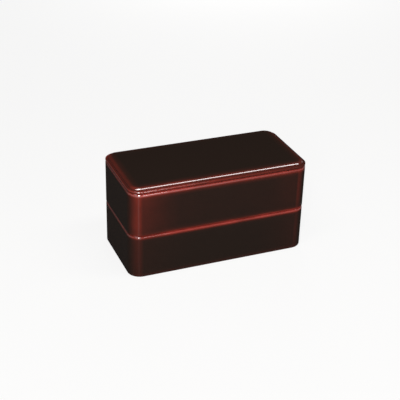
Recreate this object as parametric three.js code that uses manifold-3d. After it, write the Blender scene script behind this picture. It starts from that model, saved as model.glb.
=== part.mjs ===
// Two-tier bento box: two stacked lacquered tubs, a stepped lid, an inner lid with a seal in the
// mouth of each tub, and a divider that slides along each tub.
// Millimetres, +Z up, the long side along X. The origin is the middle of the face that the box stands on.
import * as THREE from "three";
import { mergeVertices } from "three/addons/utils/BufferGeometryUtils.js";
import Module from "manifold-3d";

const wasm = await Module();
wasm.setup();

// Outside of both tubs
const bodyLength = 180;
const bodyWidth = 87;
const cornerRadius = 12.5;
const tierHeight = 43.7;
const baseRound = 1.2;
const rimRound = 1.8;

// Inside of both tubs
const wall = 3.4;
const mouthWall = 2.2;
const mouthRound = 0.3;
const floorThickness = 2.6;
const floorRound = 4;

// The lower tub stands on a flat foot round a shallow hollow
const footWidth = 6;
const footHollow = 0.6;

// The upper tub and the lid each drop a ring into the mouth below
const seatGap = 0.3;
const ringDepth = 3;
const ringWall = 1.8;
const ringClearance = 0.6;
const ringChamfer = 0.4;

// Lid: a thin flange, then a raised top with a quarter-round shoulder
const flangeThickness = 2.1;
const flangeRound = 0.7;
const ledgeWidth = 2.3;
const shoulderRound = 2.1;
const lidThickness = 2.4;

// Inner lid: a plate on the ledge of the mouth, a plug below it and a pull in the middle
const innerLidThickness = 1.6;
const innerLidClearance = 0.5;
const innerLidRound = 0.5;
const nestHeadroom = 1.2;
const plugDepth = 3.6;
const plugWall = 2.2;
const plugClearance = 0.9;
const pullLength = 26;
const pullWidth = 7;
const pullHeadroom = 1;

// Seal in a groove round the plug
const grooveDepth = 1;
const sealHeight = 1.8;
const sealGap = 0.15;
const sealLipRound = 0.6;

// Divider: an upright plate on a flat foot, loose in the tub
const dividerThickness = 1.8;
const dividerFootLength = 16;
const dividerFootThickness = 1.6;
const dividerSideGap = 0.6;
const dividerHeadroom = 1;
const dividerTopRound = 3;
const dividerPlace = 22;

// Steps of the arcs: round the plan's corners, and over the edges of a section
const cornerSteps = 8;
const roundSteps = 5;
const smallRoundSteps = 2;
const smallestCorner = 0.4;
const weldDistance = 1e-4;
const bite = 0.5;

// Places that follow from the sizes above
const mouthDepth = ringDepth + nestHeadroom + innerLidThickness;
const ledgeHeight = tierHeight - mouthDepth;
const lowerFloor = footHollow + floorThickness;
const upperFloor = floorThickness;
const tierPitch = tierHeight + seatGap;
const ringInset = mouthWall + ringClearance;
const lidRise = flangeThickness + shoulderRound;

// Finishes
const lacquer = { color: 0x2d1f1c, roughness: 0.2, metalness: 0 };
const frostedPlastic = { color: 0xd9d4c8, roughness: 0.5, metalness: 0 };
const silicone = { color: 0xe9e6df, roughness: 0.7, metalness: 0 };
const blackPlastic = { color: 0x1b1817, roughness: 0.45, metalness: 0 };

// The plan of the box, drawn in from its outer wall by an inset
function outlineAt(inset) {
  const corner = Math.max(cornerRadius - inset, smallestCorner);
  const x = bodyLength / 2 - inset - corner;
  const y = bodyWidth / 2 - inset - corner;
  const quarter = Math.PI / 2;
  const outline = new THREE.Path();
  outline.absarc(x, y, corner, 0, quarter);
  outline.absarc(-x, y, corner, quarter, 2 * quarter);
  outline.absarc(-x, -y, corner, 2 * quarter, 3 * quarter);
  outline.absarc(x, -y, corner, 3 * quarter, 4 * quarter);
  return outline.getPoints(cornerSteps / 2);
}

// A section of the wall, as points of inset and height, from straight and round stretches
class Section {
  points = [];

  to(inset, height) {
    this.points.push(new THREE.Vector2(inset, height));
    return this;
  }

  // A quarter turn round a centre; angles are in degrees, from the inset axis
  round(inset, height, radius, from, to, steps) {
    for (let step = 0; step <= steps; step += 1) {
      const angle = THREE.MathUtils.degToRad(from + ((to - from) * step) / steps);
      this.to(inset + radius * Math.cos(angle), height + radius * Math.sin(angle));
    }
    return this;
  }
}

// Carries a section round the plan. An open section starts under the middle of the piece and ends
// above it, and both ends are closed across; a looped one comes back to its first point.
function sweepRound(section, looped = false) {
  const rings = section.points.map((point) => outlineAt(point.x));
  const count = rings[0].length;
  const positions = [];
  const faces = [];
  rings.forEach((ring, level) => {
    ring.forEach((point) => positions.push(point.x, point.y, section.points[level].y));
  });
  const levels = looped ? rings.length : rings.length - 1;
  for (let level = 0; level < levels; level += 1) {
    const low = level * count;
    const high = ((level + 1) % rings.length) * count;
    for (let i = 0; i < count; i += 1) {
      const next = (i + 1) % count;
      faces.push(low + i, low + next, high + next);
      faces.push(low + i, high + next, high + i);
    }
  }
  if (!looped) {
    const under = positions.length / 3;
    const over = under + 1;
    const last = (rings.length - 1) * count;
    positions.push(0, 0, section.points[0].y);
    positions.push(0, 0, section.points.at(-1).y);
    for (let i = 0; i < count; i += 1) {
      const next = (i + 1) % count;
      faces.push(under, next, i);
      faces.push(over, last + i, last + next);
    }
  }
  const geometry = new THREE.BufferGeometry();
  geometry.setAttribute("position", new THREE.Float32BufferAttribute(positions, 3));
  geometry.setIndex(faces);
  geometry.computeVertexNormals();
  return geometry;
}

function toSolid(geometry) {
  const bare = geometry.clone();
  bare.deleteAttribute("normal");
  bare.deleteAttribute("uv");
  const merged = mergeVertices(bare, weldDistance);
  const vertProperties = merged.attributes.position.array;
  const triVerts = new Uint32Array(merged.index.array);
  return new wasm.Manifold(new wasm.Mesh({ numProp: 3, vertProperties, triVerts }));
}

function joined(first, second) {
  const mesh = toSolid(first).add(toSolid(second)).getMesh();
  const geometry = new THREE.BufferGeometry();
  geometry.setAttribute("position", new THREE.Float32BufferAttribute(mesh.vertProperties, 3));
  geometry.setIndex(new THREE.BufferAttribute(mesh.triVerts, 1));
  geometry.computeVertexNormals();
  return geometry;
}

function piece(name, geometry, finish) {
  const mesh = new THREE.Mesh(geometry, new THREE.MeshStandardMaterial(finish));
  mesh.name = name;
  return mesh;
}

// The outer wall from its base edge to the rim, and the inside down to the floor
function tubWalls(section, floor) {
  section.round(baseRound, baseRound, baseRound, 270, 180, smallRoundSteps);
  section.round(rimRound, tierHeight - rimRound, rimRound, 180, 90, roundSteps);
  section.round(mouthWall - mouthRound, tierHeight - mouthRound, mouthRound, 90, 0, smallRoundSteps);
  section.to(mouthWall, ledgeHeight);
  section.to(wall, ledgeHeight);
  section.round(wall + floorRound, floor + floorRound, floorRound, 180, 270, roundSteps);
  return section;
}

function lowerTier() {
  const footInner = baseRound + footWidth;
  const section = new Section();
  section.to(footInner, footHollow);
  section.to(footInner, 0);
  return piece("lower_tier", sweepRound(tubWalls(section, lowerFloor)), lacquer);
}

// The ring that locates a piece in the mouth below it, from its inner face to its outer one
function locatingRing(section, top) {
  section.to(ringInset + ringWall, top);
  section.to(ringInset + ringWall, ringChamfer - ringDepth);
  section.to(ringInset + ringWall - ringChamfer, -ringDepth);
  section.to(ringInset + ringChamfer, -ringDepth);
  section.to(ringInset, ringChamfer - ringDepth);
  section.to(ringInset, 0);
  return section;
}

function upperTier() {
  const section = locatingRing(new Section(), 0);
  return piece("upper_tier", sweepRound(tubWalls(section, upperFloor)), lacquer);
}

function outerLid() {
  const section = locatingRing(new Section(), lidRise - lidThickness);
  section.round(flangeRound, flangeRound, flangeRound, 270, 180, smallRoundSteps);
  section.round(flangeRound, flangeThickness - flangeRound, flangeRound, 180, 90, smallRoundSteps);
  section.round(ledgeWidth + shoulderRound, flangeThickness, shoulderRound, 180, 90, roundSteps);
  return piece("outer_lid", sweepRound(section), lacquer);
}

// The pull is a bar with round ends, short enough to clear what stacks above the inner lid
function pullBar() {
  const height = nestHeadroom + ringDepth - pullHeadroom;
  const half = (pullLength - pullWidth) / 2;
  const quarter = Math.PI / 2;
  const outline = new THREE.Shape();
  outline.absarc(half, 0, pullWidth / 2, -quarter, quarter);
  outline.absarc(-half, 0, pullWidth / 2, quarter, 3 * quarter);
  const bar = new THREE.ExtrudeGeometry(outline, {
    depth: height + bite,
    bevelEnabled: false,
    curveSegments: cornerSteps / 2,
  });
  bar.translate(0, 0, innerLidThickness - bite);
  return bar;
}

const plugInset = wall + plugClearance;
const grooveHeight = sealHeight + 2 * sealGap;
const grooveTop = -(plugDepth - grooveHeight) / 2;
const grooveBottom = grooveTop - grooveHeight;

function innerLid(name) {
  const edge = mouthWall + innerLidClearance;
  const section = new Section();
  section.to(plugInset + plugWall, 0);
  section.to(plugInset + plugWall, -plugDepth);
  section.to(plugInset, -plugDepth);
  section.to(plugInset, grooveBottom);
  section.to(plugInset + grooveDepth, grooveBottom);
  section.to(plugInset + grooveDepth, grooveTop);
  section.to(plugInset, grooveTop);
  section.to(plugInset, 0);
  section.to(edge, 0);
  section.round(edge + innerLidRound, innerLidThickness - innerLidRound, innerLidRound, 180, 90, smallRoundSteps);
  const mesh = piece(name, joined(sweepRound(section), pullBar()), frostedPlastic);
  mesh.position.z = ledgeHeight + seatGap;
  return mesh;
}

// The seal fills the groove and reaches the inside of the tub with a rounded lip
function lidSeal(name) {
  const back = plugInset + grooveDepth - sealGap;
  const front = wall + sealGap;
  const top = grooveTop - sealGap;
  const bottom = grooveBottom + sealGap;
  const section = new Section();
  section.to(back, bottom);
  section.round(front + sealLipRound, bottom + sealLipRound, sealLipRound, 270, 180, smallRoundSteps);
  section.round(front + sealLipRound, top - sealLipRound, sealLipRound, 180, 90, smallRoundSteps);
  section.to(back, top);
  const mesh = piece(name, sweepRound(section, true), silicone);
  mesh.position.z = ledgeHeight + seatGap;
  return mesh;
}

// A divider fits either tub: it is as tall as the shallower one allows below the plug
function divider(name, floor) {
  const width = bodyWidth - 2 * (wall + dividerSideGap);
  const height = ledgeHeight - plugDepth - dividerHeadroom - lowerFloor;
  const lowRound = floorRound + dividerSideGap;
  const outline = new THREE.Shape();
  const quarter = Math.PI / 2;
  outline.absarc(lowRound - width / 2, lowRound, lowRound, 2 * quarter, 3 * quarter);
  outline.absarc(width / 2 - lowRound, lowRound, lowRound, 3 * quarter, 4 * quarter);
  outline.absarc(width / 2 - dividerTopRound, height - dividerTopRound, dividerTopRound, 0, quarter);
  outline.absarc(dividerTopRound - width / 2, height - dividerTopRound, dividerTopRound, quarter, 2 * quarter);
  const plate = new THREE.ExtrudeGeometry(outline, {
    depth: dividerThickness,
    bevelEnabled: false,
    curveSegments: cornerSteps / 2,
  });
  plate.translate(0, 0, -dividerThickness / 2);
  const alongY = new THREE.Vector3(0, 1, 0);
  const alongZ = new THREE.Vector3(0, 0, 1);
  const alongX = new THREE.Vector3(1, 0, 0);
  plate.applyMatrix4(new THREE.Matrix4().makeBasis(alongY, alongZ, alongX));
  const footSpan = width - 2 * lowRound;
  const foot = new THREE.BoxGeometry(dividerFootLength, footSpan, dividerFootThickness);
  foot.translate(0, 0, dividerFootThickness / 2);
  const mesh = piece(name, joined(plate, foot), blackPlastic);
  mesh.position.set(dividerPlace, 0, floor + seatGap);
  return mesh;
}

const lowerStack = new THREE.Group();
lowerStack.add(lowerTier());
lowerStack.add(divider("lower_divider", lowerFloor));
lowerStack.add(innerLid("lower_inner_lid"));
lowerStack.add(lidSeal("lower_lid_seal"));

const upperStack = new THREE.Group();
upperStack.position.z = tierPitch;
upperStack.add(upperTier());
upperStack.add(divider("upper_divider", upperFloor));
upperStack.add(innerLid("upper_inner_lid"));
upperStack.add(lidSeal("upper_lid_seal"));

const lid = outerLid();
lid.position.z = 2 * tierPitch;

const bentoBox = new THREE.Group();
bentoBox.add(lowerStack, upperStack, lid);

export default bentoBox;
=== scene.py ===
"""Two-tier bento box: two stacked lacquered tubs under a stepped lid, with the inner lids, seals and
dividers that they hold. Sizes here are millimetres, and meshes are made in metres."""

import math
from dataclasses import dataclass

import bpy
import numpy as np
from mathutils import Matrix, Vector


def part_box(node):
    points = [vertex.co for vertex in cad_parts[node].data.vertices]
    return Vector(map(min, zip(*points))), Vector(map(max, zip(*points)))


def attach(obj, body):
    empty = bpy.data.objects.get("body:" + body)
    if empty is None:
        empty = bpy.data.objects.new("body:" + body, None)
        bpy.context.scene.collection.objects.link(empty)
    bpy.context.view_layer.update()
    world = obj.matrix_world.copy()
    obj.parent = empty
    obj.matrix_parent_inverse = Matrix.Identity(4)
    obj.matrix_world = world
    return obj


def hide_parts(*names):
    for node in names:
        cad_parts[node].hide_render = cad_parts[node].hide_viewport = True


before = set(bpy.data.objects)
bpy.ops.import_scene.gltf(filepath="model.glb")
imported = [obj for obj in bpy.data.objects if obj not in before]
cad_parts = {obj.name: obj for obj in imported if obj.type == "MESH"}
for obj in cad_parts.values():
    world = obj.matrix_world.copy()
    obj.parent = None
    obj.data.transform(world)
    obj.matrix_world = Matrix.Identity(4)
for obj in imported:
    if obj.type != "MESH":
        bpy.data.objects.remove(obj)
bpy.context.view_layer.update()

MM = 0.001


def corners_of(node):
    """Lowest and highest corner of a CAD node, in millimetres."""
    return [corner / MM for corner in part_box(node)]


# Outside of the stack, from the frame
tub_low, tub_high = corners_of("lower_tier")
BODY_LENGTH = tub_high.x - tub_low.x
BODY_WIDTH = tub_high.y - tub_low.y
TUB_HEIGHT = tub_high.z - tub_low.z
TUB_PITCH = corners_of("upper_tier")[1].z - TUB_HEIGHT
LID_SEAT = 2 * TUB_PITCH
LID_RISE = corners_of("outer_lid")[1].z - LID_SEAT

# Tubs
CORNER_RADIUS = 12.5
BASE_ROUND = 1.2
RIM_ROUND = 1.8
WALL = 3.4
MOUTH_WALL = 2.2
MOUTH_ROUND = 0.3
FLOOR_THICKNESS = 2.6
FLOOR_ROUND = 4.0
FOOT_WIDTH = 6.0
FOOT_HOLLOW = 0.6
FOOT_ROUND = 0.25
SEAT_GAP = 0.3
LEDGE_ROUND = 0.25

# Rings that drop into the mouth below
RING_DEPTH = 3.0
RING_WALL = 1.8
RING_CLEARANCE = 0.6
RING_INSET = MOUTH_WALL + RING_CLEARANCE
RING_ROUND = 0.5

# Lid. Its shoulder is three rounds: a foot, a crown that faces up by these degrees, and a top
FLANGE_THICKNESS = 2.1
FLANGE_ROUND = 0.7
FLANGE_LEDGE = 2.3
VALLEY_ROUND = 0.25
SHOULDER_FOOT = 1.25
SHOULDER_CROWN = 7.0
SHOULDER_TOP = 1.6
CROWN_FROM = 44.0
CROWN_TO = 54.0
LID_THICKNESS = 2.4

# Inner lids, with the seal's groove round the plug and the pull in the middle
INNER_THICKNESS = 1.6
INNER_CLEARANCE = 0.5
INNER_EDGE = MOUTH_WALL + INNER_CLEARANCE
INNER_ROUND = 0.5
INNER_BORDER = 7.0
INNER_DISH = 0.4
NEST_HEADROOM = 1.2
PLUG_DEPTH = 3.6
PLUG_WALL = 2.2
PLUG_CLEARANCE = 0.9
PLUG_INSET = WALL + PLUG_CLEARANCE
PLUG_ROUND = 0.3
GROOVE_DEPTH = 1.0
SEAL_HEIGHT = 1.8
SEAL_GAP = 0.15
SEAL_LIP = 0.6
PULL_LENGTH = 26.0
PULL_WIDTH = 7.0
PULL_HEIGHT = 3.2
PULL_TOP_ROUND = 1.2
PULL_END_FLAT = 0.4
PULL_CORNER = (PULL_WIDTH - PULL_END_FLAT) / 2

# Dividers
DIVIDER_THICKNESS = 1.8
DIVIDER_FOOT_LENGTH = 16.0
DIVIDER_FOOT_THICKNESS = 1.6
DIVIDER_FOOT_ROUND = 0.6
DIVIDER_FOOT_CORNER = 3.0
DIVIDER_SIDE_GAP = 0.6
DIVIDER_LOW_ROUND = FLOOR_ROUND + DIVIDER_SIDE_GAP
DIVIDER_TOP_ROUND = 3.0
DIVIDER_FOOT_SINK = 0.4

# Places that follow
LEDGE_HEIGHT = TUB_HEIGHT - (RING_DEPTH + NEST_HEADROOM + INNER_THICKNESS)
LOWER_FLOOR = FOOT_HOLLOW + FLOOR_THICKNESS
GROOVE_HEIGHT = SEAL_HEIGHT + 2 * SEAL_GAP
GROOVE_TOP = -(PLUG_DEPTH - GROOVE_HEIGHT) / 2
GROOVE_BOTTOM = GROOVE_TOP - GROOVE_HEIGHT

# Steps of the meshes in a corner of a plan, in a round and in a small round
CORNER_STEPS = 20
ROUND_STEPS = 8
SMALL_STEPS = 4
# Points lie this far from both ends of a straight stretch that is longer than so many times that
FADE_MARKS = (0.5, 1.2, 2.4, 5.0, 9.0, 15.0)
SIDE_MARKS = (1.5, 4.0, 9.0, 16.0, 25.0, 36.0, 50.0)
MARK_ROOM = 2.2
# A plan that is drawn in keeps at least this corner, and points nearer than this are one
SMALLEST_CORNER = 0.2
SAME_POINT = 1e-6
# Edges that turn by more than this stay sharp, and elsewhere large faces lead the shading by this weight
SHARP_ANGLE = math.radians(38)
FACE_WEIGHT = 100
# How far in a flat runs before one face closes it
CAP_INSET = 8.0
LID_CAP_INSET = 10.0
DISH_CAP_INSET = 4.0
DIVIDER_CAP_INSET = 2.0

# Lacquer draws off an edge within these reaches: on long sides, on the lower rim, on ends, on the lid's ends
LINE_REACH = 1.9
RIM_REACH = 1.5
END_LINE_REACH = 0.5
# On the lid's ends this wider reach partly paints a soft reflection on its shoulder
LID_END_REACH = 2.2
# A turn of this many radians draws off about two thirds of it, and a hollow's turn counts by this share
LACQUER_EASE = 0.6
HOLLOW_SHARE = 0.85
# A rim's coat starts this far below the top of its tub, and the flange's polish this far above its underside
RIM_LINE = 2.6
FLANGE_LINE = 1.5
# The coat of the lid's crown starts this far below the crown
CROWN_LEAD = 0.05
# Walls are painted red near their corners: thin lacquer and a painted reflection of the front softbox
# On walls it is reddest this many degrees round the upright corners from the long sides, left and right
CORNER_GLOW_PEAK = (22.0, 9.0)
# From there it fades within these degrees, towards the long side and, left and right, towards the end
CORNER_FADE_LONG = 16.0
CORNER_FADE_SHORT = (31.0, 14.0)
# It also lies on the long sides this far in from their ends, and fades from there by this power
PAINTED_GLOW_REACH = 22.0
PAINTED_GLOW_FADE = 1.5
# Shares of the long sides' thin lines on ends and on the lid's ends, and of the front's polish on the back
END_THIN = 0.5
LID_END_THIN = 0.33
BACK_POLISH = 0.3
# Round a corner a thin line turns into that of the end within these degrees, late by this power
QUARTER_TURN = 90.0
LINE_EASE = 2
# The polish turns into that of the end within these degrees, late by this power
POLISH_TURN = 60.0
POLISH_EASE = 3
# The left corners are rubbed more by this share, in a streak that fades within these degrees
CORNER_RUB = 1.2
CORNER_STREAK = 9.0
# Edges up to this height above a tub's base are kept dark, as painted shade along the base
BASE_SHADE_HEIGHT = 6.0
# The painted red on a wall is this share weaker at its foot, and less so upwards within this reach
FOOT_FADE_SHARE = 0.4
FOOT_FADE_REACH = 9.0


def rounded_rectangle(length, width, *radii):
    """Four corners of a plan, anticlockwise from the far right: centre x, centre y and radius of each."""
    turns = ((1, 1), (-1, 1), (-1, -1), (1, -1))
    radii = radii * 4 if len(radii) == 1 else radii
    return [
        (sx * (length / 2 - radius), sy * (width / 2 - radius), radius)
        for (sx, sy), radius in zip(turns, radii)
    ]


BOX_PLAN = rounded_rectangle(BODY_LENGTH, BODY_WIDTH, CORNER_RADIUS)


def mark_shares(length, marks):
    """Shares of a straight stretch at which points lie, at marks from either end, so that a colour can
    fade there."""
    near = [mark / length for mark in marks if MARK_ROOM * mark < length]
    return near + [1 - share for share in reversed(near)]


def drawn_plan(plan, inset):
    """The points of a plan that is drawn in by an inset."""
    arcs = []
    for quarter, (x, y, radius) in enumerate(plan):
        drawn = max(radius - inset, SMALLEST_CORNER)
        shift = inset + drawn - radius
        angles = (quarter + np.linspace(0, 1, CORNER_STEPS + 1)) * math.pi / 2
        centre = np.array((x, y)) - shift * np.sign((x, y))
        arcs.append(centre + drawn * np.column_stack([np.cos(angles), np.sin(angles)]))
    points = []
    for quarter, arc in enumerate(arcs):
        after = (quarter + 1) % len(arcs)
        side = arcs[after][0] - arc[-1]
        length = math.dist(plan[quarter][:2], plan[after][:2])
        points.extend(arc)
        points.extend(arc[-1] + side * share for share in mark_shares(length, SIDE_MARKS))
    return np.array(points)


def with_marks(points):
    """Adds points near both ends of each straight stretch of a section."""
    marked = [points[0]]
    for start, end in zip(points, points[1:]):
        along = end - start
        for share in mark_shares(np.linalg.norm(along[:2]), FADE_MARKS):
            marked.append(np.append(start[:2] + along[:2] * share, end[2:]))
        marked.append(end)
    return np.array(marked)


class Section:
    """A cut through a wall, as points of inset, height and finish. It starts under the middle of a piece, and
    goes out, up and over to its inside. Points that are added after finish is set to 1 lie inside."""

    def __init__(self):
        self.points = []
        self.finish = 0

    def to(self, inset, height):
        """Adds a straight stretch to a point."""
        self.points.append((inset, height, self.finish))
        return self

    def round(self, inset, height, radius, start, end, steps=ROUND_STEPS):
        """Adds an arc about a centre, between two angles in degrees."""
        for angle in np.radians(np.linspace(start, end, steps + 1)):
            self.to(inset + radius * math.cos(angle), height + radius * math.sin(angle))


@dataclass
class EdgeCoat:
    """The lacquer on the edges of a piece, up to a height. left and right are how thin it lies towards either
    end of the long sides; end_thin and back are the shares of that on the ends and along the back. polish is
    how well the long sides are polished, on the left and on the right, and end_polish how well the ends are.
    reach and end_reach are how far from an edge its thin line reaches."""
    up_to: float
    left: float
    right: float
    polish: tuple = (0.0, 0.0)
    end_polish: float = 0.0
    reach: float = LINE_REACH
    end_reach: float = END_LINE_REACH
    end_thin: float = END_THIN
    back: float = 1.0


@dataclass
class Coat:
    """The lacquer on a piece. edges are its edges from the lowest up. corner and side are how red its walls
    are painted at the upright corners and at the ends of the long sides, on the left and on the right: thin
    lacquer and a painted reflection of the front softbox. all_along is how red they are painted along the
    whole of them. glint is how well the corners are polished, on the left and right."""
    edges: tuple
    corner: tuple = (0.0, 0.0)
    side: tuple = (0.0, 0.0)
    all_along: float = 0.0
    glint: tuple = (0.0, 0.0)

    def edge_at(self, height):
        """The coat of the edges at a height."""
        return next(edge for edge in self.edges if height <= edge.up_to)


def section_turns(line):
    """The way along a section to each of its points, how far it turns there, and how squarely it
    faces out."""
    steps = np.diff(line, axis=0)
    lengths = np.linalg.norm(steps, axis=1)
    headings = steps / lengths[:, None]
    before = headings[:-1]
    after = headings[1:]
    cross = before[:, 0] * after[:, 1] - before[:, 1] * after[:, 0]
    turns = np.zeros(len(line))
    turns[1:-1] = -np.arctan2(cross, np.sum(before * after, axis=1))
    turns = np.where(turns < 0, HOLLOW_SHARE * turns, turns)
    outward = np.zeros(len(line))
    outward[1:-1] = (before[:, 1] + after[:, 1]) / 2
    return np.concatenate([[0], np.cumsum(lengths)]), turns, np.maximum(outward, 0)


def drawn_off(ways, turns, way, reach):
    """How far lacquer draws off a point of a section, from 0 on flats to 1 on sharp edges."""
    bulge = np.exp(-(((ways - way) / reach) ** 2)) @ turns
    return 1 - math.exp(-max(bulge, 0) / LACQUER_EASE)


def between_ends(pair, ring):
    """A value at each point of a plan that runs evenly from one at the left end to one at the right end."""
    return np.interp(ring[:, 0], (-BODY_LENGTH / 2, BODY_LENGTH / 2), pair)


def turn_from_long_side(ring):
    """Degrees that each point of a plan lies round the corner from the long sides, and whether it lies on a
    corner's arc or along a long side."""
    past_x = np.maximum(np.abs(ring[:, 0]) - (BODY_LENGTH / 2 - CORNER_RADIUS), 0)
    past_y = np.maximum(np.abs(ring[:, 1]) - (BODY_WIDTH / 2 - CORNER_RADIUS), 0)
    turn = np.degrees(np.arctan2(past_x, past_y))
    return turn, (past_x > 0) & (past_y > 0), past_y > 0


def wall_thin_coat_and_painted_glow(ring, coat):
    """How red an upright wall is painted at each point of its plan: thin lacquer near its corners, and a
    painted reflection of the front softbox.
    """
    turn, on_arc, on_long_side = turn_from_long_side(ring)
    off = turn - between_ends(CORNER_GLOW_PEAK, ring)
    fade_short = between_ends(CORNER_FADE_SHORT, ring)
    fade = np.where(off < 0, CORNER_FADE_LONG, fade_short)
    corner = np.where(on_arc, np.exp(-((off / fade) ** 2)), 0)
    from_end = np.maximum(BODY_LENGTH / 2 - CORNER_RADIUS - np.abs(ring[:, 0]), 0)
    side = np.where(on_long_side, np.exp(-((from_end / PAINTED_GLOW_REACH) ** PAINTED_GLOW_FADE)), 0)
    turned_away = np.exp(-((turn / fade_short) ** 2))
    thin = np.maximum(between_ends(coat.corner, ring) * corner,
                      between_ends(coat.side, ring) * side * turned_away)
    return np.maximum(thin, coat.all_along * turned_away * on_long_side)


def lacquer_marks(section, rings, coat):
    """For each point of a swept wall: how thin the lacquer lies, because it draws off what bulges and gathers
    in hollows, with painted reflection on walls and painted shade along a base; and how well the wall is
    polished there."""
    ways, turns, outward = section_turns(section[:, :2])
    # On the ends only bulges count
    bulges = np.maximum(turns, 0)
    thin = []
    polish = []
    for ring, way, facing, height in zip(rings, ways, outward, section[:, 1]):
        edge = coat.edge_at(height)
        turn, on_arc, _ = turn_from_long_side(ring)
        to_end = np.clip(turn / QUARTER_TURN, 0, 1) ** LINE_EASE
        to_back = np.where(ring[:, 1] > 0, 1 - to_end, 0)
        along_side = drawn_off(ways, turns, way, edge.reach)
        along_end = drawn_off(ways, bulges, way, edge.end_reach)
        drawn = along_side + (along_end - along_side) * to_end
        rubbed = (1 - (1 - edge.end_thin) * to_end) * (1 - (1 - edge.back) * to_back)
        line = drawn * rubbed * between_ends((edge.left, edge.right), ring)
        # The painted red on walls, weaker towards their foot
        foot_fade = 1 - FOOT_FADE_SHARE * math.exp(-((height / FOOT_FADE_REACH) ** 2))
        wall = facing * foot_fade * wall_thin_coat_and_painted_glow(ring, coat)
        thin.append(1 - (1 - line) * (1 - wall))
        streak = on_arc * np.exp(-(((turn - CORNER_GLOW_PEAK[0]) / CORNER_STREAK) ** 2))
        streak = streak * between_ends((1, 0), ring)
        side_polish = between_ends(edge.polish, ring)
        round_corner = np.clip(turn / POLISH_TURN, 0, 1) ** POLISH_EASE
        buffed = side_polish + (edge.end_polish - side_polish) * round_corner
        buffed = buffed * (1 - (1 - BACK_POLISH) * to_back) * (1 + CORNER_RUB * streak)
        polish.append(np.maximum(drawn * buffed, between_ends(coat.glint, ring) * facing * streak))
    return np.concatenate(thin), np.concatenate(polish)


def swept_piece(name, plan, section, lift, finishes, looped=False, turned=Matrix.Identity(4), coat=None):
    """Carries a section round a plan as one closed mesh. lift is the height of the section's zero, and coat
    is how the lacquer lies on it."""
    points = np.array(section.points, float)
    apart = np.linalg.norm(np.diff(points[:, :2], axis=0), axis=1)
    points = points[np.concatenate([[True], apart > SAME_POINT])]
    points = with_marks(points)
    rings = [drawn_plan(plan, inset) for inset, _, _ in points]
    count = len(rings[0])
    places = [(x * MM, y * MM, (z + lift) * MM) for ring, z in zip(rings, points[:, 1]) for x, y in ring]
    faces = []
    inside = []
    levels = len(rings) if looped else len(rings) - 1
    for level in range(levels):
        low = level * count
        high = (level + 1) % len(rings) * count
        for i in range(count):
            after = (i + 1) % count
            faces.append((low + i, low + after, high + after, high + i))
            inside.append(int(points[(level + 1) % len(rings), 2]))
    if not looped:
        last = (len(rings) - 1) * count
        faces.append(tuple(reversed(range(count))))
        faces.append(tuple(range(last, last + count)))
        inside += [int(points[0, 2]), int(points[-1, 2])]
    mesh = bpy.data.meshes.new(name)
    mesh.from_pydata(places, [], faces)
    if coat:
        # The first mark is how red it is painted: thin lacquer, painted reflection and painted shade
        for mark, values in zip(("thin_coat_and_painted_light", "edge_polish"), lacquer_marks(points, rings, coat)):
            mesh.attributes.new(mark, "FLOAT", "POINT").data.foreach_set("value", values)
    for finish in finishes:
        mesh.materials.append(finish)
    mesh.polygons.foreach_set("material_index", [min(i, len(finishes) - 1) for i in inside])
    mesh.transform(turned)
    piece = bpy.data.objects.new(name, mesh)
    bpy.context.scene.collection.objects.link(piece)
    return piece


def joined(first, second):
    """Makes one closed mesh of two that overlap."""
    join = first.modifiers.new("join", "BOOLEAN")
    join.operation = "UNION"
    join.solver = "EXACT"
    join.object = second
    shown = first.evaluated_get(bpy.context.evaluated_depsgraph_get())
    mesh = bpy.data.meshes.new_from_object(shown)
    first.modifiers.clear()
    first.data = mesh
    bpy.data.objects.remove(second)
    return first


def finish_piece(piece, body, node):
    """Smooths a piece's rounds, keeps its flats flat, and fixes it to its body in place of a CAD node."""
    mesh = piece.data
    mesh.polygons.foreach_set("use_smooth", [True] * len(mesh.polygons))
    mesh.set_sharp_from_angle(angle=SHARP_ANGLE)
    even = piece.modifiers.new("even_shading", "WEIGHTED_NORMAL")
    even.keep_sharp = True
    even.weight = FACE_WEIGHT
    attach(piece, body)
    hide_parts(node)


# Materials

# Lacquer lies thinner and thicker in slow clouds, and glows red where it lies this thin
CLOUD_SIZE = 26.0
CLOUD_SPAN = (0.3, 0.7)
CLOUD_DRIFT = (0.7, 1.15)
GLOW_DEPTH = 0.35
# Spraying leaves a slight ripple in it
RIPPLE_SIZE = 1.6
RIPPLE_HEIGHT = 0.01
RIPPLE_STRENGTH = 0.01
# The weight of its coat rises between these marks of polish, and is this on flats
GLOSS_SPAN = (0.5, 0.85)
FLAT_GLOSS = 0.023
# Its own IOR is about 1.5. Glints finer than a pixel need more to show, and the best rubbed edges need most
GLINT_SPAN = (1.3, 2.0)
GLINT_IOR = (1.8, 2.5)

# The tint of moulded plastic drifts slowly between two shares of its colour
TINT_SIZE = 18.0
TINT_SHARES = (1.05, 0.93)
# Its skin has a fine grain, which moves its roughness by this much either way
GRAIN_HEIGHT = 0.08
GRAIN_STRENGTH = 0.15
GRAIN_ROUGHNESS = 0.05
# Its IOR, and how far red, green and blue light goes into it
PLASTIC_IOR = 1.49
LIGHT_REACH = (2.0, 1.7, 1.3)


def srgb(hex_colour):
    """An sRGB hex colour as linear red, green, blue and alpha."""
    shares = [int(hex_colour[i : i + 2], 16) / 255 for i in (1, 3, 5)]
    linear = [c / 12.92 if c <= 0.04045 else ((c + 0.055) / 1.055) ** 2.4 for c in shares]
    return (*linear, 1.0)


def per_mm(size):
    """Texture scale, in object space, of a pattern with features of a size in millimetres."""
    return 1 / (size * MM)


def add(tree, kind, inputs=None, **settings):
    """Adds a node. An input takes a value, or the output of another node."""
    made = tree.nodes.new(kind)
    for name, value in settings.items():
        setattr(made, name, value)
    for name, value in (inputs or {}).items():
        if isinstance(value, bpy.types.NodeSocket):
            tree.links.new(value, made.inputs[name])
        else:
            made.inputs[name].default_value = value
    return made


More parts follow.
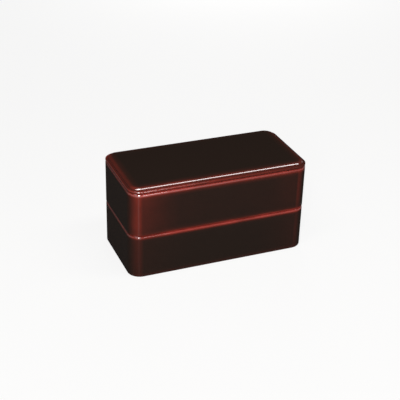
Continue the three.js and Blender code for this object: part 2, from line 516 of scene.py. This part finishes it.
def new_material(name):
    """An empty node material: its tree, the surface input and the place in object space."""
    material = bpy.data.materials.new(name)
    material.use_nodes = True
    tree = material.node_tree
    tree.nodes.clear()
    surface = add(tree, "ShaderNodeOutputMaterial").inputs["Surface"]
    place = add(tree, "ShaderNodeTexCoord").outputs["Object"]
    return material, tree, surface, place


def brown_lacquer_over_red(name, flat, glow, edge, polish):
    """Translucent brown lacquer sprayed over a red ground on moulded ABS. Where the coat lies thick the piece
    is nearly black; where it draws thin the red ground shows, and polished edges carry sharp glints. The mark
    that sets the red also carries painted reflection and painted shade."""
    material, tree, surface, place = new_material(name)
    # This mark sets the red: thin lacquer, painted reflection on walls and painted shade along bases
    thin = add(tree, "ShaderNodeAttribute", attribute_name="thin_coat_and_painted_light").outputs["Fac"]
    rubbed = add(tree, "ShaderNodeAttribute", attribute_name="edge_polish").outputs["Fac"]
    cloud = add(tree, "ShaderNodeTexNoise", {"Vector": place, "Scale": per_mm(CLOUD_SIZE), "Detail": 3.0})
    drift = add(tree, "ShaderNodeMapRange", {
        "Value": cloud.outputs["Fac"],
        "From Min": CLOUD_SPAN[0],
        "From Max": CLOUD_SPAN[1],
        "To Min": CLOUD_DRIFT[0],
        "To Max": CLOUD_DRIFT[1],
    })
    depth = add(tree, "ShaderNodeMath", {0: thin, 1: drift.outputs[0]}, operation="MULTIPLY", use_clamp=True)
    colour = add(tree, "ShaderNodeValToRGB", {"Fac": depth.outputs[0]})
    stops = colour.color_ramp.elements
    stops.new(GLOW_DEPTH)
    for stop, shade in zip(stops, (flat, glow, edge)):
        stop.color = srgb(shade)
    gloss = add(tree, "ShaderNodeMapRange", {
        "Value": rubbed,
        "From Min": GLOSS_SPAN[0],
        "From Max": GLOSS_SPAN[1],
        "To Min": FLAT_GLOSS,
        "To Max": polish,
    })
    glint = add(tree, "ShaderNodeMapRange", {
        "Value": rubbed,
        "From Min": GLINT_SPAN[0],
        "From Max": GLINT_SPAN[1],
        "To Min": GLINT_IOR[0],
        "To Max": GLINT_IOR[1],
    })
    peel = add(tree, "ShaderNodeTexNoise", {"Vector": place, "Scale": per_mm(RIPPLE_SIZE), "Detail": 1.0})
    ripple = add(tree, "ShaderNodeBump", {
        "Height": peel.outputs["Fac"],
        "Strength": RIPPLE_STRENGTH,
        "Distance": RIPPLE_HEIGHT * MM,
    })
    # All the gloss is in the coat, so the ground under it has none of its own
    skin = add(tree, "ShaderNodeBsdfPrincipled", {
        "Base Color": colour.outputs["Color"],
        "Roughness": 0.4,
        "IOR": 1.5,
        "Specular IOR Level": 0.0,
        "Coat Weight": gloss.outputs[0],
        "Coat Roughness": 0.05,
        "Coat IOR": glint.outputs[0],
        "Normal": ripple.outputs["Normal"],
    })
    tree.links.new(skin.outputs["BSDF"], surface)
    return material


def moulded_plastic(name, colour, grain_size, roughness, subsurface=0.0):
    """Injection-moulded plastic or silicone: an even colour with a fine spark-eroded skin that takes the
    shine off. The real grain is about 0.1 mm, and it is drawn coarser here so that it shows."""
    material, tree, surface, place = new_material(name)
    cloud = add(tree, "ShaderNodeTexNoise", {"Vector": place, "Scale": per_mm(TINT_SIZE), "Detail": 2.0})
    pale, deep = [tuple(c * share for c in srgb(colour)[:3]) + (1.0,) for share in TINT_SHARES]
    shades = {"Factor": cloud.outputs["Fac"], "A": pale, "B": deep}
    tint = add(tree, "ShaderNodeMix", shades, data_type="RGBA")
    grain = add(tree, "ShaderNodeTexNoise", {"Vector": place, "Scale": per_mm(grain_size), "Detail": 2.0})
    bump = add(tree, "ShaderNodeBump", {
        "Height": grain.outputs["Fac"],
        "Strength": GRAIN_STRENGTH,
        "Distance": GRAIN_HEIGHT * MM,
    })
    gloss = add(tree, "ShaderNodeMapRange", {
        "Value": grain.outputs["Fac"],
        "To Min": roughness - GRAIN_ROUGHNESS,
        "To Max": roughness + GRAIN_ROUGHNESS,
    })
    skin = add(tree, "ShaderNodeBsdfPrincipled", {
        "Base Color": tint.outputs["Result"],
        "Roughness": gloss.outputs[0],
        "IOR": PLASTIC_IOR,
        "Subsurface Weight": subsurface,
        "Subsurface Radius": [reach * MM for reach in LIGHT_REACH],
        "Normal": bump.outputs["Normal"],
    })
    tree.links.new(skin.outputs["BSDF"], surface)
    return material


# Brown lacquer, sprayed over red and rubbed by hand: near black on flats, red with bright lines on edges
OUTSIDE_LACQUER = brown_lacquer_over_red(
    "brown_lacquer_over_red", flat="#211915", glow="#67261e", edge="#a43d35", polish=1.0
)
# The same lacquer, sprayed inside and hardly rubbed: a plain dark brown with little gloss
INSIDE_LACQUER = brown_lacquer_over_red(
    "inside_brown_lacquer", flat="#271e1b", glow="#5a2a23", edge="#8a3d34", polish=0.2
)
# Natural polypropylene from a spark-eroded mould: milky, with a soft sheen
FROSTED_PLASTIC = moulded_plastic(
    "frosted_polypropylene", "#ddd8cc", grain_size=0.7, roughness=0.45, subsurface=0.25
)
# Silicone rubber, moulded soft: white and matt
SILICONE = moulded_plastic(
    "white_silicone_rubber", "#e6e3dc", grain_size=0.5, roughness=0.62, subsurface=0.15
)
# Polypropylene coloured black, from a spark-eroded mould: satin
BLACK_PLASTIC = moulded_plastic("black_polypropylene", "#1d1a19", grain_size=0.6, roughness=0.42)
LACQUERED = (OUTSIDE_LACQUER, INSIDE_LACQUER)


# Tubs and lid

def tub_walls(section, floor):
    """From the base edge up to the rim, and down the inside to the floor."""
    section.round(BASE_ROUND, BASE_ROUND, BASE_ROUND, 270, 180)
    section.round(RIM_ROUND, TUB_HEIGHT - RIM_ROUND, RIM_ROUND, 180, 90)
    section.round(MOUTH_WALL - MOUTH_ROUND, TUB_HEIGHT - MOUTH_ROUND, MOUTH_ROUND, 90, 0, SMALL_STEPS)
    section.finish = 1
    section.to(MOUTH_WALL, LEDGE_HEIGHT)
    section.round(WALL - LEDGE_ROUND, LEDGE_HEIGHT - LEDGE_ROUND, LEDGE_ROUND, 90, 0, SMALL_STEPS)
    section.round(WALL + FLOOR_ROUND, floor + FLOOR_ROUND, FLOOR_ROUND, 180, 270)
    section.to(WALL + FLOOR_ROUND + CAP_INSET, floor)


def locating_ring(section, top):
    """The ring that drops into the mouth below, from its inner face to its outer one."""
    inner = RING_INSET + RING_WALL
    section.to(inner + CAP_INSET, top).to(inner, top)
    section.round(inner - RING_ROUND, RING_ROUND - RING_DEPTH, RING_ROUND, 0, -90, SMALL_STEPS)
    section.round(RING_INSET + RING_ROUND, RING_ROUND - RING_DEPTH, RING_ROUND, 270, 180, SMALL_STEPS)
    section.to(RING_INSET, 0)


def lower_tub():
    """The tub that stands on a flat foot ring."""
    section = Section()
    inner = BASE_ROUND + FOOT_WIDTH
    section.to(inner + CAP_INSET, FOOT_HOLLOW).to(inner, FOOT_HOLLOW)
    section.round(inner - FOOT_ROUND, FOOT_ROUND, FOOT_ROUND, 0, -90, SMALL_STEPS)
    tub_walls(section, LOWER_FLOOR)
    coat = Coat(
        edges=(
            # The lowest edges are kept dark, as painted shade where the tub stands
            EdgeCoat(BASE_SHADE_HEIGHT, left=0.06, right=0.06),
            EdgeCoat(TUB_HEIGHT - RIM_LINE, left=0.4, right=0.4, reach=RIM_REACH),
            EdgeCoat(math.inf, left=0.62, right=0.78, polish=(0.68, 0.78), end_polish=1.02, reach=RIM_REACH,
                     end_thin=0.7),
        ),
        # corner and side: thin lacquer and a painted reflection of the front softbox on the walls
        corner=(0.1, 0.05),
        side=(0.015, 0.02),
        glint=(0.6, 0.2),
    )
    piece = swept_piece("lower_tub", BOX_PLAN, section, 0, LACQUERED, coat=coat)
    finish_piece(piece, "lower_tier", "lower_tier")


def upper_tub():
    """The tub whose ring drops into the mouth of the lower one."""
    section = Section()
    locating_ring(section, 0)
    tub_walls(section, FLOOR_THICKNESS)
    coat = Coat(
        edges=(
            EdgeCoat(BASE_ROUND, left=0.28, right=0.85),
            EdgeCoat(2 * BASE_ROUND, left=0.12, right=0.25),
            # Edges low on the tub are kept dark, as painted shade along its base
            EdgeCoat(BASE_SHADE_HEIGHT, left=0.1, right=0.1),
            EdgeCoat(TUB_HEIGHT - RIM_LINE, left=0.5, right=0.54),
            EdgeCoat(math.inf, left=0.92, right=0.56, polish=(1.1, 0.68), end_polish=1.0),
        ),
        # corner, side and all_along: thin lacquer and a painted reflection of the front softbox, strongest on
        # the left
        corner=(0.39, 0.12),
        side=(0.145, 0.025),
        all_along=0.012,
        glint=(0.66, 0.2),
    )
    piece = swept_piece("upper_tub", BOX_PLAN, section, TUB_PITCH, LACQUERED, coat=coat)
    finish_piece(piece, "upper_tier", "upper_tier")


def stepped_lid():
    """A thin flange flush with the tub, and a raised top whose shoulder is a crowned chamfer."""
    section = Section()
    section.finish = 1
    locating_ring(section, LID_RISE - LID_THICKNESS)
    section.finish = 0
    section.round(FLANGE_ROUND, FLANGE_ROUND, FLANGE_ROUND, 270, 180)
    section.round(FLANGE_ROUND, FLANGE_THICKNESS - FLANGE_ROUND, FLANGE_ROUND, 180, 90)
    low = math.radians(CROWN_FROM)
    high = math.radians(CROWN_TO)
    top_inset = FLANGE_LEDGE + SHOULDER_FOOT * (1 - math.cos(low))
    top_inset += SHOULDER_CROWN * (math.cos(low) - math.cos(high)) + SHOULDER_TOP * math.cos(high)
    valley = FLANGE_LEDGE - VALLEY_ROUND
    section.round(valley, FLANGE_THICKNESS + VALLEY_ROUND, VALLEY_ROUND, 270, 360, SMALL_STEPS)
    top_centre = LID_RISE - SHOULDER_TOP
    crown_inset = top_inset - (SHOULDER_TOP - SHOULDER_CROWN) * math.cos(high)
    crown_centre = top_centre + (SHOULDER_TOP - SHOULDER_CROWN) * math.sin(high)
    foot_inset = FLANGE_LEDGE + SHOULDER_FOOT
    foot_centre = crown_centre + (SHOULDER_CROWN - SHOULDER_FOOT) * math.sin(low)
    crown_start = foot_centre + SHOULDER_FOOT * math.sin(low)
    section.round(foot_inset, foot_centre, SHOULDER_FOOT, 180, 180 - CROWN_FROM)
    section.round(crown_inset, crown_centre, SHOULDER_CROWN, 180 - CROWN_FROM, 180 - CROWN_TO)
    section.round(top_inset, top_centre, SHOULDER_TOP, 180 - CROWN_TO, 90)
    section.to(top_inset + LID_CAP_INSET, LID_RISE)
    coat = Coat(
        edges=(
            # The flange's underside round is kept dark, as painted shade in the groove over the rim
            EdgeCoat(FLANGE_ROUND, left=0.1, right=0.05),
            EdgeCoat(FLANGE_LINE, left=0.5, right=0.12, end_thin=LID_END_THIN),
            # Its top round is painted redder towards the left, partly a painted highlight where the front
            # lamps glint
            EdgeCoat(FLANGE_THICKNESS, left=0.62, right=0.12, polish=(1.0, 0.0), end_polish=0.7),
            EdgeCoat(crown_start - CROWN_LEAD, left=0.38, right=0.24, end_thin=LID_END_THIN),
            # On the lid's ends the shoulder's red reaches wider, partly as a painted soft reflection
            EdgeCoat(math.inf, left=0.5, right=0.27, polish=(1.3, 2.0), end_polish=0.5, back=0.15,
                     end_reach=LID_END_REACH, end_thin=LID_END_THIN),
        ),
    )
    piece = swept_piece("stepped_lid", BOX_PLAN, section, LID_SEAT, LACQUERED, coat=coat)
    finish_piece(piece, "outer_lid", "outer_lid")


# Inner lids, seals and dividers

def inner_plate(tier, lift):
    """A frosted plate with a dished top, a plug grooved for its seal, and a pull in the middle."""
    section = Section()
    inner = PLUG_INSET + PLUG_WALL
    section.to(inner + CAP_INSET, 0).to(inner, 0)
    section.round(inner - PLUG_ROUND, PLUG_ROUND - PLUG_DEPTH, PLUG_ROUND, 0, -90, SMALL_STEPS)
    section.round(PLUG_INSET + PLUG_ROUND, PLUG_ROUND - PLUG_DEPTH, PLUG_ROUND, 270, 180, SMALL_STEPS)
    section.to(PLUG_INSET, GROOVE_BOTTOM).to(PLUG_INSET + GROOVE_DEPTH, GROOVE_BOTTOM)
    section.to(PLUG_INSET + GROOVE_DEPTH, GROOVE_TOP).to(PLUG_INSET, GROOVE_TOP)
    section.to(PLUG_INSET, 0).to(INNER_EDGE, 0)
    section.round(INNER_EDGE + INNER_ROUND, INNER_THICKNESS - INNER_ROUND, INNER_ROUND, 180, 90, SMALL_STEPS)
    dish = INNER_EDGE + INNER_BORDER
    section.round(dish, INNER_THICKNESS - INNER_DISH, INNER_DISH, 90, 0, SMALL_STEPS)
    section.to(dish + INNER_DISH + DISH_CAP_INSET, INNER_THICKNESS - INNER_DISH)
    plate = swept_piece(f"{tier}_inner_plate", BOX_PLAN, section, lift, (FROSTED_PLASTIC,))
    bar = Section()
    bar_foot = INNER_THICKNESS - 2 * INNER_DISH
    bar.to(PULL_WIDTH / 4, bar_foot).to(0, bar_foot)
    bar.round(PULL_TOP_ROUND, INNER_THICKNESS + PULL_HEIGHT - PULL_TOP_ROUND, PULL_TOP_ROUND, 180, 90)
    bar.to(PULL_WIDTH / 2 - PULL_TOP_ROUND, INNER_THICKNESS + PULL_HEIGHT)
    pull_plan = rounded_rectangle(PULL_LENGTH, PULL_WIDTH, PULL_CORNER)
    pull = swept_piece(f"{tier}_pull", pull_plan, bar, lift, (FROSTED_PLASTIC,))
    body = f"{tier}_inner_lid"
    finish_piece(joined(plate, pull), body, body)


def seal_ring(tier, lift):
    """A soft ring that fills the plug's groove and reaches the tub's wall with a rounded lip."""
    back = PLUG_INSET + GROOVE_DEPTH - SEAL_GAP
    front = WALL + SEAL_GAP
    top = GROOVE_TOP - SEAL_GAP
    bottom = GROOVE_BOTTOM + SEAL_GAP
    section = Section()
    section.to(back, bottom)
    section.round(front + SEAL_LIP, bottom + SEAL_LIP, SEAL_LIP, 270, 180, SMALL_STEPS)
    section.round(front + SEAL_LIP, top - SEAL_LIP, SEAL_LIP, 180, 90, SMALL_STEPS)
    section.to(back, top)
    piece = swept_piece(f"{tier}_seal_ring", BOX_PLAN, section, lift, (SILICONE,), looped=True)
    finish_piece(piece, f"{tier}_inner_lid", f"{tier}_lid_seal")


def divider(tier):
    """An upright plate with round edges, standing on a thin foot."""
    node = f"{tier}_divider"
    low, high = corners_of(node)
    width = high.y - low.y
    plate_low = low.z + DIVIDER_FOOT_SINK
    height = high.z - plate_low
    middle = (low.x + high.x) / 2
    half = DIVIDER_THICKNESS / 2
    edge = Section()
    edge.to(half + DIVIDER_CAP_INSET, -half)
    edge.round(half, 0, half, 270, 90)
    edge.to(half + DIVIDER_CAP_INSET, half)
    outline = rounded_rectangle(
        width, height, DIVIDER_TOP_ROUND, DIVIDER_TOP_ROUND, DIVIDER_LOW_ROUND, DIVIDER_LOW_ROUND
    )
    # The outline's x, y and thickness become the divider's y, z and x
    upright = Matrix(((0, 0, 1, 0), (1, 0, 0, 0), (0, 1, 0, 0), (0, 0, 0, 1)))
    centre = Vector((middle, 0, (plate_low + high.z) / 2)) * MM
    plate = swept_piece(f"{tier}_partition", outline, edge, 0, (BLACK_PLASTIC,),
                        turned=Matrix.Translation(centre) @ upright)
    foot = Section()
    foot.to(DIVIDER_CAP_INSET, 0).to(0, 0)
    foot.round(DIVIDER_FOOT_ROUND, DIVIDER_FOOT_THICKNESS - DIVIDER_FOOT_ROUND, DIVIDER_FOOT_ROUND, 180, 90)
    foot.to(DIVIDER_FOOT_ROUND + DIVIDER_CAP_INSET, DIVIDER_FOOT_THICKNESS)
    span = width - 2 * DIVIDER_LOW_ROUND
    foot_plan = rounded_rectangle(DIVIDER_FOOT_LENGTH, span, DIVIDER_FOOT_CORNER)
    base = swept_piece(f"{tier}_partition_foot", foot_plan, foot, low.z, (BLACK_PLASTIC,),
                       turned=Matrix.Translation((middle * MM, 0, 0)))
    finish_piece(joined(plate, base), node, node)


lower_tub()
upper_tub()
stepped_lid()
for tier, tub_base in (("lower", 0), ("upper", TUB_PITCH)):
    plate_seat = tub_base + LEDGE_HEIGHT + SEAT_GAP
    inner_plate(tier, plate_seat)
    seal_ring(tier, plate_seat)
    divider(tier)


# Stage, light and camera

# The stage: its radius, the height of its wall, how far it lies under the foot, and the sides of its ring
STAGE_RADIUS = 6000.0
BACKDROP_HEIGHT = 2200.0
FLOOR_DROP = 0.1
STAGE_SIDES = 96
PAPER_COLOUR = "#d0cecb"
# Share of plain white in the paper as it is seen. The rest is lit paper, which keeps the shadow
SEEN_WHITE = 0.85
WORLD_COLOUR = "#3e3e3d"
BOX_MIDDLE = (0, 0, 50)


def paper_stage(name):
    """A round sheet of paper that turns up into a low wall far behind everything."""
    angles = np.linspace(0, 2 * math.pi, STAGE_SIDES, endpoint=False)
    ring = [(STAGE_RADIUS * MM * math.cos(a), STAGE_RADIUS * MM * math.sin(a)) for a in angles]
    places = [(x, y, z * MM) for z in (-FLOOR_DROP, BACKDROP_HEIGHT) for x, y in ring]
    count = len(ring)
    walls = [(i, (i + 1) % count, count + (i + 1) % count, count + i) for i in range(count)]
    mesh = bpy.data.meshes.new(name)
    mesh.from_pydata(places, [], [tuple(range(count)), *walls])
    stage = bpy.data.objects.new(name, mesh)
    bpy.context.scene.collection.objects.link(stage)
    return stage


def seen_share(tree, share):
    """A share of the rays that show a backdrop: those from the camera, and those that gloss or glass
    sends on."""
    rays = add(tree, "ShaderNodeLightPath").outputs
    shown = rays["Is Camera Ray"]
    for ray in ("Is Glossy Ray", "Is Transmission Ray"):
        shown = add(tree, "ShaderNodeMath", {0: shown, 1: rays[ray]}, operation="MAXIMUM").outputs[0]
    return add(tree, "ShaderNodeMath", {0: shown, 1: share}, operation="MULTIPLY").outputs[0]


def pale_paper():
    """Matt uncoated paper, pressed smooth: pale and even, without a shine."""
    material, tree, surface, _ = new_material("pale_paper")
    paper = add(tree, "ShaderNodeBsdfPrincipled", {
        "Base Color": srgb(PAPER_COLOUR),
        "Roughness": 0.9,
        "Specular IOR Level": 0.1,
    })
    white = add(tree, "ShaderNodeEmission", {"Color": (1, 1, 1, 1), "Strength": 1.0})
    seen = add(tree, "ShaderNodeMixShader", {
        "Fac": seen_share(tree, SEEN_WHITE),
        1: paper.outputs["BSDF"],
        2: white.outputs["Emission"],
    })
    tree.links.new(seen.outputs["Shader"], surface)
    return material


def soft_lamp(name, place, aim, size, power, shape="RECTANGLE"):
    """A softbox. Its place, its aim and its size across and up are millimetres, and its power is watts."""
    lamp = bpy.data.lights.new(name, "AREA")
    lamp.shape = shape
    lamp.size = size[0] * MM
    lamp.size_y = size[1] * MM
    lamp.energy = power
    holder = bpy.data.objects.new(name, lamp)
    bpy.context.scene.collection.objects.link(holder)
    holder.location = Vector(place) * MM
    holder.rotation_euler = (Vector(aim) - Vector(place)).to_track_quat("-Z", "Y").to_euler()


floor = paper_stage("floor")
floor.data.materials.append(pale_paper())

soft_lamp("front_softbox", place=(-500, -980, 620), aim=BOX_MIDDLE, size=(260, 420), power=9.7)
# A low oval draws the bright lines along the flange and the rims, right of the near left corner
soft_lamp(
    "front_oval", place=(170, -920, 250), aim=(-75, -43, 84), size=(130, 260), power=0.8, shape="ELLIPSE"
)
soft_lamp("back_softbox", place=(480, 1030, 250), aim=BOX_MIDDLE, size=(400, 400), power=5)
# A long strip overhead draws the bright line along the front of the lid
soft_lamp("overhead_strip", place=(37, -255, 884), aim=(47, 0, 92), size=(1355, 190), power=8.3)

world = bpy.data.worlds.new("dim_studio")
world.use_nodes = True
world.node_tree.nodes["Background"].inputs["Color"].default_value = srgb(WORLD_COLOUR)
bpy.context.scene.world = world

# Camera at the photo's angle: its place and aim in millimetres, its roll and view in degrees
CAMERA_PLACE = (-329.8, -774.2, 501.7)
CAMERA_AIM = (-4.1, 1.0, 46.2)
CAMERA_ROLL = 1.65
CAMERA_VIEW = 23.15
SENSOR_WIDTH = 36.0

camera = bpy.data.objects.new("camera", bpy.data.cameras.new("camera"))
bpy.context.scene.collection.objects.link(camera)
camera.data.sensor_width = SENSOR_WIDTH
camera.data.lens = SENSOR_WIDTH / 2 / math.tan(math.radians(CAMERA_VIEW / 2))
camera.location = Vector(CAMERA_PLACE) * MM
look = (Vector(CAMERA_AIM) - Vector(CAMERA_PLACE)).to_track_quat("-Z", "Y").to_matrix()
camera.rotation_euler = (look @ Matrix.Rotation(math.radians(CAMERA_ROLL), 3, "Z")).to_euler()
bpy.context.scene.camera = camera

bpy.context.scene.view_settings.view_transform = "Standard"
